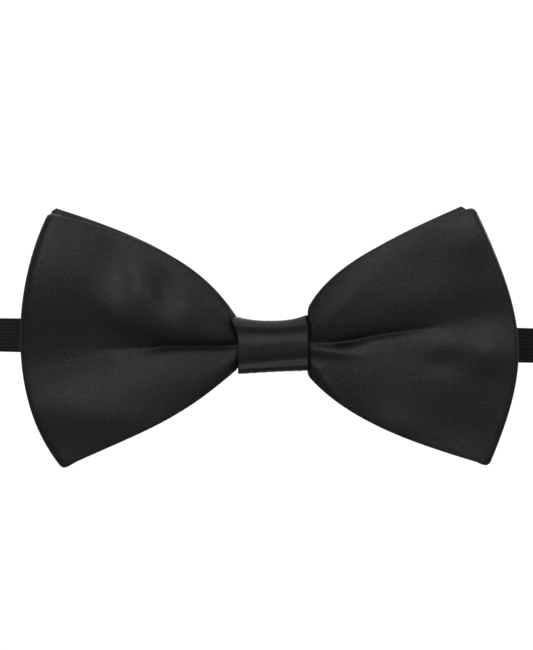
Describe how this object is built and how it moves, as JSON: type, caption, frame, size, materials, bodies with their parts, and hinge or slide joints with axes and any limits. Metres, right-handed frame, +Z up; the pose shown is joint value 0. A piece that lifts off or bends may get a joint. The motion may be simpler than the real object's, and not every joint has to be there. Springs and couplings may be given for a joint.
{
  "type": "bow tie",
  "caption": "Pre-tied black satin bow tie on an adjustable ribbed elastic neck band that closes at the back with a hook and ring.",
  "frame": {"origin": "centre of the flat back of the knot, which rests on the collar", "axes": "+X to the right as the viewer faces the bow, +Y towards the wearer's neck, +Z up"},
  "size_m": [0.1698, 0.0998, 0.0638],
  "materials": {
    "satin": "black satin weave with a soft broad sheen",
    "lining": "plain woven interlining",
    "elastic": "ribbed black elastic webbing",
    "thread": "black polyester thread",
    "metal": "nickel-plated, lightly polished"
  },
  "bodies": {
    "bow_centre": {"front_bow_waist": "satin", "rear_bow_waist": "satin", "gathering_thread": "thread", "knot_wrap": "satin", "knot_lining": "lining", "knot_stitches": "thread", "neck_band": "elastic", "band_tack_stitches": "thread", "band_return": "elastic", "ring_bartack": "thread"},
    "front_left": {"front_left_wing": "satin", "front_left_lining": "lining"},
    "front_right": {"front_right_wing": "satin", "front_right_lining": "lining"},
    "rear_left": {"rear_left_wing": "satin", "rear_left_lining": "lining"},
    "rear_right": {"rear_right_wing": "satin", "rear_right_lining": "lining"},
    "adjuster": {"slider": "metal", "band_end_fold": "elastic", "slider_bartack": "thread"},
    "clasp_hook": {"hook": "metal"},
    "clasp_ring": {"ring": "metal"}
  },
  "joints": [
    {"name": "front_left_flex", "type": "hinge", "parent": "bow_centre", "child": "front_left", "pos_m": [-0.0086, -0.0084, 0], "axis": [0, 0, 1], "range_deg": [0, 18], "stiffness_Nm_per_rad": 0.01},
    {"name": "front_right_flex", "type": "hinge", "parent": "bow_centre", "child": "front_right", "pos_m": [0.0086, -0.0084, 0], "axis": [0, 0, -1], "range_deg": [0, 18], "stiffness_Nm_per_rad": 0.01},
    {"name": "rear_left_flex", "type": "hinge", "parent": "bow_centre", "child": "rear_left", "pos_m": [-0.0086, -0.0025, 0], "axis": [0, 0, -1], "range_deg": [0, 5], "stiffness_Nm_per_rad": 0.01},
    {"name": "rear_right_flex", "type": "hinge", "parent": "bow_centre", "child": "rear_right", "pos_m": [0.0086, -0.0025, 0], "axis": [0, 0, 1], "range_deg": [0, 5], "stiffness_Nm_per_rad": 0.01},
    {"name": "slider_slide", "type": "slide", "parent": "bow_centre", "child": "adjuster", "axis": [0.9998, 0, -0.0209], "range_m": [-0.013, 0.013], "deforming": ["band_return"]},
    {"name": "hook_swing", "type": "hinge", "parent": "bow_centre", "child": "clasp_hook", "pos_m": [-0.004, 0.0811, 0.00168], "axis": [0.0209, 0, 0.9998], "range_deg": [0, 75]},
    {"name": "ring_swing", "type": "hinge", "parent": "bow_centre", "child": "clasp_ring", "pos_m": [0.022, 0.0811, 0.00114], "axis": [0.0209, 0, 0.9998], "range_deg": [0, 60]}
  ]
}
